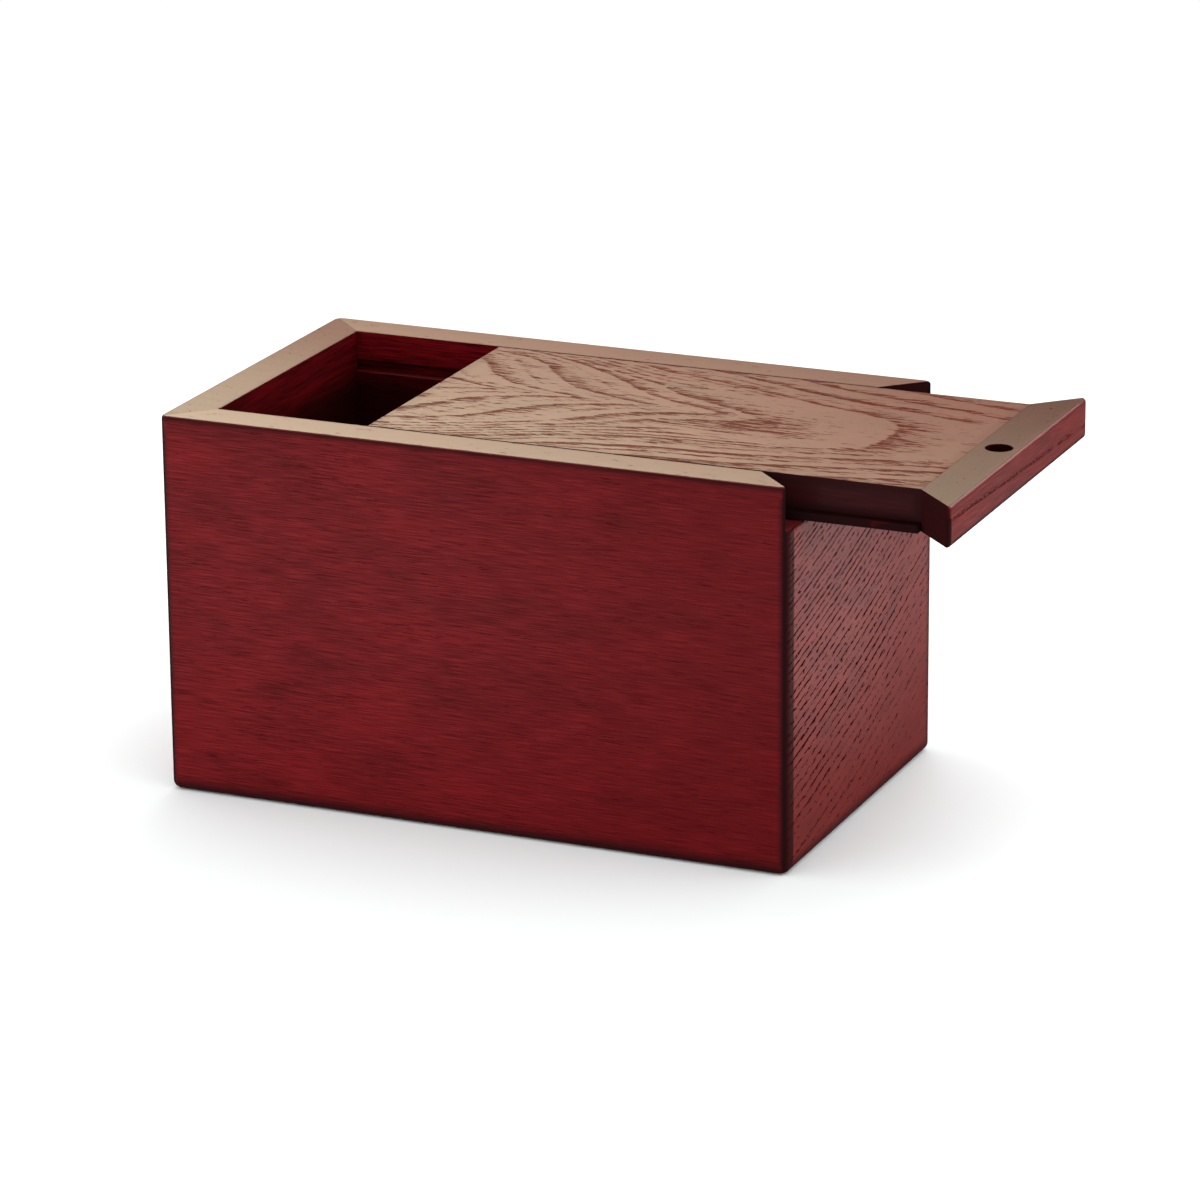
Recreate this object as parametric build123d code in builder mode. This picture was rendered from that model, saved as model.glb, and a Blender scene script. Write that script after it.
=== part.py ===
from build123d import *
import os

# A mitred wooden box with a sliding lid, standing on its bottom with the lid partly drawn out.
# Millimetres. +Z is up, +X is the way the lid draws out, and -Y is the front.
# The origin is the middle of the underside.

# Frame of four boards, mitred at the corners
box_length = 180.0
box_width = 109.0
box_height = 105.5
wall = 12.0
mitre_angle = 45.0
corner_radius = 1.8  # upright corners
foot_radius = 1.5  # outer edges of the underside
rim_radius = 0.7  # outer edges of the rim and of the lid's end cap
edge_ease = 0.4  # inner edges of the rim and top edges of the lid

# Bottom panel, let into a rebate and flush with the underside
bottom_thickness = 6.0
rebate_width = 6.0
glue_gap = 0.1

# Splines glued across the mitres, out of sight
spline_thickness = 3.0
spline_width = 7.0
spline_setback = 7.2  # from the inner corner, along the mitre
spline_cover = 4.0  # wood above the spline up to the groove, and below it down to the rebate

# Lid: a panel on a thin runner board, with an end cap that completes the rim
panel_thickness = 9.0
runner_thickness = 2.2
runner_reach = 2.2  # how far the runner board stands into each groove
runner_corner = 0.8
runner_play = 0.3  # under and beside the runner board
lift_play = 0.9  # above the runner board
side_gap = 0.4  # between the lid panel and each long wall
end_gap = 0.3  # between the shut lid and the closed end
mitre_gap = 0.25  # between the shut end cap and each long wall, along the wall
pull_hole = 7.0
lid_draw = 43.7  # how far the lid stands out of the box

# Dowels between the lid panel and its end cap
dowel_diameter = 5.0
dowel_length = 16.0
dowel_spacing = 54.0
dowel_chamfer = 0.5

# Sizes and levels that follow from the ones above
inner_length = box_length - 2 * wall
inner_width = box_width - 2 * wall
lid_thickness = panel_thickness + runner_thickness
lid_level = box_height - lid_thickness
groove_level = lid_level - runner_play
groove_height = runner_play + runner_thickness + lift_play
groove_depth = runner_reach + runner_play
lid_length = inner_length - end_gap
spline_level = bottom_thickness + spline_cover
spline_length = groove_level - spline_cover - spline_level

# Each side of the frame lies on a plane whose x runs along the board and whose y points into the box
front_side = Plane(origin=(0, -box_width / 2, 0), x_dir=(1, 0, 0))
back_side = Plane(origin=(0, box_width / 2, 0), x_dir=(-1, 0, 0))
closed_side = Plane(origin=(-box_length / 2, 0, 0), x_dir=(0, -1, 0))
open_side = Plane(origin=(box_length / 2, 0, 0), x_dir=(0, 1, 0))

# The drawn lid: the plane of its underside, and the side of the frame that its end cap completes
lid_plane = Plane(origin=(lid_draw, 0, lid_level))
cap_side = Plane(origin=(lid_draw + box_length / 2, 0, lid_level), x_dir=(0, 1, 0))
dowel_plane = Plane(
    origin=(lid_draw + inner_length / 2, 0, lid_level + runner_thickness + panel_thickness / 2),
    x_dir=(0, 1, 0),
    z_dir=(1, 0, 0),
)

# The four corners, each by its sign along the box and across it
corners = {
    "front_closed": (-1, -1),
    "front_open": (1, -1),
    "back_closed": (-1, 1),
    "back_open": (1, 1),
}


def add_mitred_board(side, length, height, outline_plane=Plane.XY):
    """Adds one board of the frame; the rounded outline of the whole box trims its two tips."""
    with BuildSketch(side) as board_plan:
        Trapezoid(length, wall, mitre_angle, align=(Align.CENTER, Align.MIN))
    extrude(board_plan.sketch, amount=height)
    with BuildSketch(outline_plane) as box_outline:
        RectangleRounded(box_length, box_width, corner_radius)
    extrude(box_outline.sketch, amount=height, mode=Mode.INTERSECT)


def edges_across(side, level):
    """The edges of the board at one level, from its outer face to its inner face."""
    return edges().filter_by_position(Axis.Z, level, level).sort_by(Axis(side.origin, side.y_dir))


def outer_edges(side, level):
    """The long outer edge of a board and the two short arcs at its tips, at one level."""
    return edges_across(side, level)[:3]


def round_board(side, height, lower_radius, upper_radius, inner_ease=True):
    """Rounds a board's outer edges, and eases its inner top edge where hands reach it."""
    base = side.origin.Z
    fillet(outer_edges(side, base), lower_radius)
    fillet(outer_edges(side, base + height), upper_radius)
    if inner_ease:
        fillet(edges_across(side, base + height)[-1], edge_ease)


def cut_lid_groove(side):
    """Cuts the groove that the lid's runner board slides in, along the whole board."""
    with BuildSketch(side.offset(groove_level)) as groove:
        with Locations((0, wall)):
            Rectangle(box_length, 2 * groove_depth)
    extrude(groove.sketch, amount=groove_height, mode=Mode.SUBTRACT)


def cut_bottom_rebate():
    """Cuts the rebate that takes the bottom panel."""
    with BuildSketch() as rebate:
        Rectangle(inner_length + 2 * rebate_width, inner_width + 2 * rebate_width)
    extrude(rebate.sketch, amount=bottom_thickness, mode=Mode.SUBTRACT)


def spline_plane(corner):
    """The foot of a corner's spline: x runs square across the mitre."""
    along, across = corners[corner]
    inner_corner = Vector(along * inner_length / 2, across * inner_width / 2, spline_level)
    outward = Vector(along, across, 0).normalized()
    return Plane(origin=inner_corner + outward * spline_setback, x_dir=(along, -across, 0))


def cut_spline_slot(corner):
    """Cuts a board's half of the slot for one corner's spline."""
    with BuildSketch(spline_plane(corner)) as slot:
        Rectangle(spline_width + 2 * glue_gap, spline_thickness + 2 * glue_gap)
    extrude(slot.sketch, amount=spline_length + glue_gap, mode=Mode.SUBTRACT)


def cut_dowel_holes(depth):
    """Drills the holes for the lid's dowels, from the joint line between lid panel and end cap."""
    with BuildSketch(dowel_plane) as drilling:
        with GridLocations(dowel_spacing, 0, 2, 1):
            Circle(dowel_diameter / 2 + glue_gap)
    extrude(drilling.sketch, amount=depth, mode=Mode.SUBTRACT)


# Long walls, full height, grooved for the lid
with BuildPart() as front_wall:
    add_mitred_board(front_side, box_length, box_height)
    round_board(front_side, box_height, foot_radius, rim_radius)
    cut_lid_groove(front_side)
    cut_bottom_rebate()
    cut_spline_slot("front_closed")
    cut_spline_slot("front_open")

with BuildPart() as back_wall:
    add_mitred_board(back_side, box_length, box_height)
    round_board(back_side, box_height, foot_radius, rim_radius)
    cut_lid_groove(back_side)
    cut_bottom_rebate()
    cut_spline_slot("back_closed")
    cut_spline_slot("back_open")

# Closed end, full height; the shut lid stops against it
with BuildPart() as closed_end_wall:
    add_mitred_board(closed_side, box_width, box_height)
    round_board(closed_side, box_height, foot_radius, rim_radius)
    cut_bottom_rebate()
    cut_spline_slot("front_closed")
    cut_spline_slot("back_closed")

# Open end, cut down to the floor of the grooves so that the lid passes over it
with BuildPart() as open_end_wall:
    add_mitred_board(open_side, box_width, groove_level)
    round_board(open_side, groove_level, foot_radius, rim_radius)
    cut_bottom_rebate()
    cut_spline_slot("front_open")
    cut_spline_slot("back_open")

with BuildPart() as bottom_panel:
    with BuildSketch():
        Rectangle(
            inner_length + 2 * (rebate_width - glue_gap),
            inner_width + 2 * (rebate_width - glue_gap),
        )
    extrude(amount=bottom_thickness)

# Lid panel: its top is level with the rim
with BuildPart() as lid_panel:
    with BuildSketch(lid_plane.offset(runner_thickness)):
        with Locations((inner_length / 2, 0)):
            Rectangle(lid_length, inner_width - 2 * side_gap, align=(Align.MAX, Align.CENTER))
    extrude(amount=panel_thickness)
    top_edges = faces().sort_by(Axis.Z)[-1].edges()
    fillet(top_edges.sort_by(Axis.X)[:-1], edge_ease)
    cut_dowel_holes(-(dowel_length / 2 + glue_gap))

# Runner board: glued under the lid panel and wider than it, so that its long edges run in the grooves
with BuildPart() as lid_runner_board:
    with BuildSketch(lid_plane):
        with Locations((inner_length / 2, 0)):
            Rectangle(lid_length, inner_width + 2 * runner_reach, align=(Align.MAX, Align.CENTER))
        fillet(vertices(), runner_corner)
    extrude(amount=runner_thickness)

# End cap: the strip of rim above the open end, carried by the lid, with the hole that draws it out
with BuildPart() as lid_end_cap:
    add_mitred_board(cap_side, box_width - 2 * mitre_gap, lid_thickness, lid_plane)
    round_board(cap_side, lid_thickness, rim_radius, rim_radius, inner_ease=False)
    with BuildSketch(lid_plane):
        with Locations(((box_length - wall) / 2, 0)):
            Circle(pull_hole / 2)
    extrude(amount=lid_thickness, mode=Mode.SUBTRACT)
    cut_dowel_holes(dowel_length / 2 + glue_gap)

with BuildPart() as lid_dowels:
    with BuildSketch(dowel_plane.offset(-dowel_length / 2)):
        with GridLocations(dowel_spacing, 0, 2, 1):
            Circle(dowel_diameter / 2)
    extrude(amount=dowel_length)
    chamfer(edges().filter_by(GeomType.CIRCLE), dowel_chamfer)

pieces = {
    "front_wall": front_wall,
    "back_wall": back_wall,
    "closed_end_wall": closed_end_wall,
    "open_end_wall": open_end_wall,
    "bottom_panel": bottom_panel,
    "lid_panel": lid_panel,
    "lid_runner_board": lid_runner_board,
    "lid_end_cap": lid_end_cap,
    "lid_dowels": lid_dowels,
}

for corner in corners:
    with BuildPart() as spline:
        with BuildSketch(spline_plane(corner)):
            Rectangle(spline_width, spline_thickness)
        extrude(amount=spline_length)
    pieces[f"{corner}_spline"] = spline

os.makedirs("parts", exist_ok=True)
for name, piece in pieces.items():
    piece.part.label = name
    export_step(piece.part, f"parts/{name}.step")
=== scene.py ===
"""A red-stained wooden box with mitred corners and a sliding lid: its boards, finishes and studio.

Metres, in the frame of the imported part: +X is the way the lid draws out, -Y is the front and +Z is up.
Finishes count in millimetres.
"""

import logging
import math
from dataclasses import dataclass, field, replace
from enum import Enum
from typing import Optional, Sequence, Union

import bmesh
import bpy
from mathutils import Matrix, Vector


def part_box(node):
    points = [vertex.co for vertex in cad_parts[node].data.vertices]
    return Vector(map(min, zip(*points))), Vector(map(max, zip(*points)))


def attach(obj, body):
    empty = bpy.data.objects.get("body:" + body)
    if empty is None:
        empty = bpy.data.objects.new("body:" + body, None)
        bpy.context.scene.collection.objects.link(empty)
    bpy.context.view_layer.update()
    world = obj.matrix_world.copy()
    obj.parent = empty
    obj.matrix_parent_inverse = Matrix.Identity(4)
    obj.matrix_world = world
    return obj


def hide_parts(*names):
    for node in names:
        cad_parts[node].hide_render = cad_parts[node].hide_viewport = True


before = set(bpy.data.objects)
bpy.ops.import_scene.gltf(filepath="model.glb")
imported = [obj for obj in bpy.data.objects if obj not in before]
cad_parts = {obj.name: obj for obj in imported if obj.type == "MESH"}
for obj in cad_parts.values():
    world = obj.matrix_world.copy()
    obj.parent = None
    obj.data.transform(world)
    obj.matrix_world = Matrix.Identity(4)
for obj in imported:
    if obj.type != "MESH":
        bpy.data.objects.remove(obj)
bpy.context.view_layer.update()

LOG = logging.getLogger("sliding_lid_box")

MM = 0.001
PER_METRE = 1.0 / MM
AXES = "XYZ"
LID_DOWELS = "lid_dowels"
UP = Vector((0, 0, 1))
CROSSWISE = Vector((0, 1, 0))
MITRE = math.radians(45.0)
QUARTER_TURN = math.radians(90.0)
SHARP_ANGLE = math.radians(32.0)
WELD = 0.002 * MM
ROUND_BEVEL = 0.5
NOISE_MEAN = 0.5

# Ways from the middle of an arc of a profile, in degrees
DOWN = 270.0
OUT = 180.0
TOP = 90.0
IN = 0.0

Point = tuple[float, float]
Size = tuple[float, float, float]
Colour = tuple[float, float, float]
Number = Union["Signal", float]


class Side(Enum):
    """A side of the box: the way its board's length runs, the way out and a wall that the board meets."""

    FRONT = ((1, 0, 0), (0, -1, 0), "closed_end_wall")
    BACK = ((-1, 0, 0), (0, 1, 0), "closed_end_wall")
    CLOSED_END = ((0, -1, 0), (-1, 0, 0), "front_wall")
    OPEN_END = ((0, 1, 0), (1, 0, 0), "front_wall")

    @property
    def along(self) -> Vector:
        """The way the board's length runs."""
        return Vector(self.value[0])

    @property
    def outward(self) -> Vector:
        """The way out of the box, square to the board's outer face."""
        return Vector(self.value[1])

    @property
    def reach(self) -> float:
        """Distance from the board's middle to the outer face of the wall that it meets."""
        return abs(self.along.dot(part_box(self.value[2])[0]))


class Lie(Enum):
    """How a board lies in the frame: the axes along its grain, across its face and through its thickness."""

    LENGTHWISE_UPRIGHT = "XZY"
    CROSSWISE_UPRIGHT = "YZX"
    LENGTHWISE_FLAT = "XYZ"


@dataclass(frozen=True)
class Signal:
    """A number that varies over a surface; sums and products of signals add the nodes that work them out."""

    tree: bpy.types.NodeTree
    socket: bpy.types.NodeSocket

    def calculate(self, operation: str, *values: Number) -> "Signal":
        """Adds one node of arithmetic.

        Args:
            operation: Kind of arithmetic.
            values: Its inputs, in order.

        Returns:
            The result.
        """
        node = self.tree.nodes.new("ShaderNodeMath")
        node.operation = operation
        for entry, value in zip(node.inputs, values):
            if isinstance(value, Signal):
                self.tree.links.new(value.socket, entry)
            else:
                entry.default_value = value
        return Signal(self.tree, node.outputs[0])

    def __add__(self, other: Number) -> "Signal":
        """The sum of two numbers."""
        return self.calculate("ADD", self, other)

    def __sub__(self, other: Number) -> "Signal":
        """The difference of two numbers."""
        return self.calculate("SUBTRACT", self, other)

    def __rsub__(self, other: float) -> "Signal":
        """A constant less this number."""
        return self.calculate("SUBTRACT", other, self)

    def __mul__(self, other: Number) -> "Signal":
        """The product of two numbers."""
        return self.calculate("MULTIPLY", self, other)

    def __truediv__(self, other: Number) -> "Signal":
        """The quotient of two numbers."""
        return self.calculate("DIVIDE", self, other)

    def __abs__(self) -> "Signal":
        """The number without its sign."""
        return self.calculate("ABSOLUTE", self)

    def exponential(self) -> "Signal":
        """The natural exponential."""
        return self.calculate("EXPONENT", self)

    def logarithm(self) -> "Signal":
        """The natural logarithm."""
        return self.calculate("LOGARITHM", self, math.e)

    def root(self) -> "Signal":
        """The square root."""
        return self.calculate("SQRT", self)

    def fraction(self) -> "Signal":
        """What is left above the whole number below."""
        return self.calculate("FRACT", self)

    def least(self, other: Number) -> "Signal":
        """The smaller of two numbers."""
        return self.calculate("MINIMUM", self, other)

    def greatest(self, other: Number) -> "Signal":
        """The larger of two numbers."""
        return self.calculate("MAXIMUM", self, other)

    def ramp(self, start: float, end: float) -> "Signal":
        """Climbs smoothly from 0 to 1.

        Args:
            start: Value at and before which the result is 0.
            end: Value at and past which it is 1; it may lie below start.

        Returns:
            The climb.
        """
        node = self.tree.nodes.new("ShaderNodeMapRange")
        node.interpolation_type = "SMOOTHSTEP"
        rising = end > start
        self.tree.links.new(self.socket, node.inputs["Value"])
        node.inputs["From Min"].default_value = min(start, end)
        node.inputs["From Max"].default_value = max(start, end)
        node.inputs["To Min"].default_value = 0.0 if rising else 1.0
        node.inputs["To Max"].default_value = 1.0 if rising else 0.0
        return Signal(self.tree, node.outputs["Result"])


@dataclass(frozen=True)
class Place:
    """Where a point lies in a board, in millimetres from the board's middle."""

    along: Signal
    across: Signal
    through: Signal

    def parts(self) -> tuple[Signal, Signal, Signal]:
        """The three distances, in order."""
        return self.along, self.across, self.through


@dataclass(frozen=True)
class Ring:
    """One growth ring of an arched figure: where its tip starts, how dark and how deep its open pores run."""

    start: float
    strength: float
    fade: float


@dataclass(frozen=True)
class BoardFace:
    """What a finish needs to know of the board that it covers, in millimetres."""

    lie: Lie
    middle: Vector
    half_size: Vector
    cut_axis: Optional[Vector] = None
    inner_axis: Optional[Vector] = None
    bore_radius: float = 0.0

    def halves(self) -> list[float]:
        """Half the board's length along its grain, width across its face and thickness."""
        return [self.half_size[AXES.index(axis)] for axis in self.lie.value]


@dataclass(frozen=True)
class PoreTexture:
    """How ragged open pores are: two layers of clouds and the level at which the wood turns solid."""

    fine_scale: float = 0.45
    coarse_share: float = 0.62
    solid_level: float = 0.34
    contrast: float = 3.1
    softness: float = 0.16
    detail: float = 1.0


class MaterialGraph:
    """The nodes of one material, built up signal by signal."""

    def __init__(self, name: str) -> None:
        """Starts an empty material.

        Args:
            name: Name of the material.
        """
        self.material = bpy.data.materials.new(name)
        self.material.use_nodes = True
        self.tree = self.material.node_tree
        self.tree.nodes.clear()
        self.coordinates = self.tree.nodes.new("ShaderNodeTexCoord")
        self.geometry = self.tree.nodes.new("ShaderNodeNewGeometry")

    def axes(self, source: bpy.types.NodeSocket) -> dict[str, Signal]:
        """Parts a vector into its three numbers.

        Args:
            source: The vector.

        Returns:
            The numbers, by the axis letter.
        """
        node = self.tree.nodes.new("ShaderNodeSeparateXYZ")
        self.tree.links.new(source, node.inputs[0])
        return {axis: Signal(self.tree, node.outputs[axis]) for axis in AXES}

    def place(self, face: BoardFace) -> Place:
        """Finds where a point lies in its board.

        Args:
            face: The board.

        Returns:
            The point's place along the grain, across the face and through the board.
        """
        position = self.axes(self.coordinates.outputs["Object"])
        shifted = {
            axis: position[axis] * PER_METRE - face.middle[AXES.index(axis)] for axis in AXES
        }
        return Place(*[shifted[axis] for axis in face.lie.value])

    def vector(self, place: Place, grain: Sequence[float]) -> bpy.types.NodeSocket:
        """Joins a place into one vector.

        Args:
            place: Where the point lies.
            grain: Length, width and depth that count as one.

        Returns:
            The vector.
        """
        node = self.tree.nodes.new("ShaderNodeCombineXYZ")
        for entry, part, size in zip(node.inputs, place.parts(), grain):
            self.tree.links.new((part * (1.0 / size)).socket, entry)
        return node.outputs[0]

    def noise(self, place: Place, grain: Sequence[float], detail: float = 2.0) -> Signal:
        """Soft clouds.

        Args:
            place: Where the point lies.
            grain: Length, width and depth of a cloud.
            detail: How many finer layers are added.

        Returns:
            A number about the noise's mean.
        """
        node = self.tree.nodes.new("ShaderNodeTexNoise")
        node.inputs["Scale"].default_value = 1.0
        node.inputs["Detail"].default_value = detail
        self.tree.links.new(self.vector(place, grain), node.inputs["Vector"])
        return Signal(self.tree, node.outputs[0])

    def pores(self, grain: "Grain", share: Signal, texture: PoreTexture = PoreTexture()) -> Signal:
        """Open pores: short ragged dashes along the grain.

        Args:
            grain: The board's grain.
            share: How much of the surface the dashes cover, from 0 to 1.
            texture: How ragged the dashes are.

        Returns:
            1 in a pore and 0 in solid wood.
        """
        fine_size = [size * texture.fine_scale for size in grain.pore_size]
        coarse = self.noise(grain.follow, grain.pore_size, texture.detail)
        fine = self.noise(grain.follow, fine_size, texture.detail)
        cloud = coarse * texture.coarse_share + fine * (1.0 - texture.coarse_share)
        return (share - (cloud - texture.solid_level) * texture.contrast).ramp(0.0, texture.softness)

    def bands(self, distance: Signal, rings: Sequence[Ring], sharp: float, solid: float) -> Signal:
        """Growth rings that begin sharply and fade.

        Args:
            distance: Distance in millimetres across the rings.
            rings: The rings, in order.
            sharp: Distance over which a ring begins.
            solid: How porous the wood is between rings.

        Returns:
            How porous the wood is, from 0 to 1.
        """
        start = rings[0].start - 2 * sharp
        length = rings[-1].start + 2 * rings[-1].fade - start
        knots = []
        for ring in rings:
            knots.append((ring.start - sharp, solid))
            knots.append((ring.start, ring.strength))
            knots.append((ring.start + ring.fade, solid))
        stops = [((knot - start) / length, (level, level, level)) for knot, level in sorted(knots)]
        return Signal(self.tree, self.spread((distance - start) * (1.0 / length), stops))

    def edge_distance(self, place: Place, face: BoardFace, stretch: float) -> Signal:
        """Distance in millimetres from a point of the surface to the board's nearest edge.

        Args:
            place: Where the point lies.
            face: The board.
            stretch: How many millimetres count as one towards the board's ends.

        Returns:
            The distance.
        """
        end, side, flat = [half - abs(part) for half, part in zip(face.halves(), place.parts())]
        end = end * (1.0 / stretch)
        return end.greatest(side).least(side.greatest(flat)).least(end.greatest(flat))

    def facing(self, axis: Vector) -> Signal:
        """How far the surface faces along an axis.

        Args:
            axis: The axis.

        Returns:
            1 where it faces along the axis, and -1 where it faces away.
        """
        node = self.tree.nodes.new("ShaderNodeVectorMath")
        node.operation = "DOT_PRODUCT"
        self.tree.links.new(self.geometry.outputs["True Normal"], node.inputs[0])
        node.inputs[1].default_value = axis
        return Signal(self.tree, node.outputs["Value"])

    def spread(self, amount: Signal, stops: Sequence[tuple[float, Colour]]) -> bpy.types.NodeSocket:
        """Turns a number into a colour.

        Args:
            amount: The number.
            stops: Colours at given values, in order.

        Returns:
            The colour.
        """
        node = self.tree.nodes.new("ShaderNodeValToRGB")
        elements = node.color_ramp.elements
        for count, (position, colour) in enumerate(stops):
            stop = elements[count] if count < len(elements) else elements.new(position)
            stop.position = position
            stop.color = (*colour, 1.0)
        self.tree.links.new(amount.socket, node.inputs["Fac"])
        return node.outputs["Color"]

    def tint(self, amount: Signal, base: bpy.types.NodeSocket, colour: Colour) -> bpy.types.NodeSocket:
        """Mixes a colour into another one.

        Args:
            amount: How much is mixed in, from 0 to 1.
            base: The colour that is there.
            colour: The colour that is mixed in.

        Returns:
            The mixed colour.
        """
        node = self.tree.nodes.new("ShaderNodeMix")
        node.data_type = "RGBA"
        self.tree.links.new(amount.socket, node.inputs["Factor"])
        self.tree.links.new(base, node.inputs["A"])
        node.inputs["B"].default_value = (*colour, 1.0)
        return node.outputs["Result"]

    def bump(self, height: Signal) -> bpy.types.NodeSocket:
        """Raises a fine relief.

        Args:
            height: Height of the relief in millimetres.

        Returns:
            The surface normal over it.
        """
        node = self.tree.nodes.new("ShaderNodeBump")
        node.inputs["Strength"].default_value = 1.0
        node.inputs["Distance"].default_value = MM
        self.tree.links.new(height.socket, node.inputs["Height"])
        return node.outputs["Normal"]

    def shader(self) -> bpy.types.Node:
        """Adds the material's shader and its output.

        Returns:
            The shader.
        """
        node = self.tree.nodes.new("ShaderNodeBsdfPrincipled")
        output = self.tree.nodes.new("ShaderNodeOutputMaterial")
        self.tree.links.new(node.outputs["BSDF"], output.inputs["Surface"])
        return node

    def cover(self, piece: bpy.types.Object) -> None:
        """Puts the material on a piece in place of any that it has.

        Args:
            piece: The piece.
        """
        piece.data.materials.clear()
        piece.data.materials.append(self.material)


@dataclass(frozen=True)
class Grain:
    """How porous a board is from place to place, the place that its pores follow and a pore's size."""

    share: Signal
    follow: Place
    pore_size: Size


@dataclass(frozen=True)
class Figure:
    """The figure that the way of sawing leaves on a board; lengths in millimetres."""

    pore_size: Size
    sway: float
    sway_size: Size = (70.0, 22.0, 22.0)

    def wander(self, graph: MaterialGraph, place: Place) -> Signal:
        """Slow waver of the growth rings, in millimetres."""
        return (graph.noise(place, self.sway_size) - NOISE_MEAN) * self.sway

    def grain(self, graph: MaterialGraph, place: Place, face: BoardFace) -> Grain:
        """Works out where the open pores gather.

        Args:
            graph: The material's nodes.
            place: Where a point lies in its board.
            face: The board.

        Returns:
            The board's grain.
        """
        raise NotImplementedError


@dataclass(frozen=True)
class StraightFigure(Figure):
    """Fine straight lines, with open pores here and there."""

    pore_size: Size = (6.0, 0.3, 0.8)
    sway: float = 1.3
    cloud_size: Size = (30.0, 6.0, 6.0)
    cloud_range: Point = (0.4, 0.75)
    porosity: float = 0.24

    def grain(self, graph: MaterialGraph, place: Place, face: BoardFace) -> Grain:
        """Works out where the open pores gather.

        Args:
            graph: The material's nodes.
            place: Where a point lies in its board.
            face: The board; not used.

        Returns:
            The board's grain.
        """
        level = place.across + self.wander(graph, place)
        share = graph.noise(place, self.cloud_size).ramp(*self.cloud_range) * self.porosity
        return Grain(share, replace(place, across=level), self.pore_size)


@dataclass(frozen=True)
class FleckedFigure(Figure):
    """A plain board with a few rows of flecks."""

    pore_size: Size = (5.0, 0.6, 1.0)
    sway: float = 5.0
    slope: float = 0.03
    row_spacing: float = 4.6
    first_row: float = 1.4
    row_share: float = 0.3
    porosity: float = 1.0
    cloud_size: Size = (18.0, 5.0, 5.0)
    cloud_range: Point = (0.45, 0.6)

    def grain(self, graph: MaterialGraph, place: Place, face: BoardFace) -> Grain:
        """Works out where the open pores gather.

        Args:
            graph: The material's nodes.
            place: Where a point lies in its board.
            face: The board; not used.

        Returns:
            The board's grain.
        """
        level = place.across + place.along * self.slope + self.wander(graph, place)
        row = ((level + self.first_row) / self.row_spacing).fraction()
        cloud = graph.noise(place, self.cloud_size).ramp(*self.cloud_range)
        share = row.ramp(self.row_share, 0.0) * cloud * self.porosity
        return Grain(share, replace(place, across=level), self.pore_size)


@dataclass(frozen=True)
class SlantedFigure(Figure):
    """Lines of open pores that rise along the board and lie further apart towards its foot."""

    pore_size: Size = (2.6, 0.6, 1.0)
    sway: float = 1.6
    slope: float = 0.3
    steepening: float = 0.0008
    first_spacing: float = 1.5
    widening: float = 0.02
    line_end: float = 0.7
    line_start: float = 0.06
    fading_depth: Point = (60.0, 115.0)
    fading: float = 0.58
    far_end: Point = (0.0, 50.0)
    far_fading: float = 0.25
    cloud_size: Size = (26.0, 2.4, 6.0)
    cloud_range: Point = (0.35, 0.6)
    thinnest: float = 0.6
    porosity: float = 0.86

    def grain(self, graph: MaterialGraph, place: Place, face: BoardFace) -> Grain:
        """Works out where the open pores gather.

        Args:
            graph: The material's nodes.
            place: Where a point lies in its board.
            face: The board.

        Returns:
            The board's grain.
        """
        half_along, half_across, _ = face.halves()
        corner = half_across + self.slope * half_along - self.steepening * half_along**2
        rise = place.along * self.slope + place.along * place.along * self.steepening
        level = place.across - rise + self.wander(graph, place)
        depth = (corner - level).greatest(0.0)
        ring = (depth * self.widening + self.first_spacing).logarithm() * (1.0 / self.widening)
        phase = ring.fraction()
        follow = replace(place, across=level)
        cloud = graph.noise(follow, self.cloud_size).ramp(*self.cloud_range)
        strength = (cloud * (1.0 - self.thinnest) + self.thinnest) * self.porosity
        strength = strength * (1.0 - depth.ramp(*self.fading_depth) * self.fading)
        strength = strength * (1.0 - place.along.ramp(*self.far_end) * self.far_fading)
        line = phase.ramp(self.line_end, self.line_start) * phase.ramp(0.0, self.line_start)
        return Grain(line * strength, follow, self.pore_size)


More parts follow.
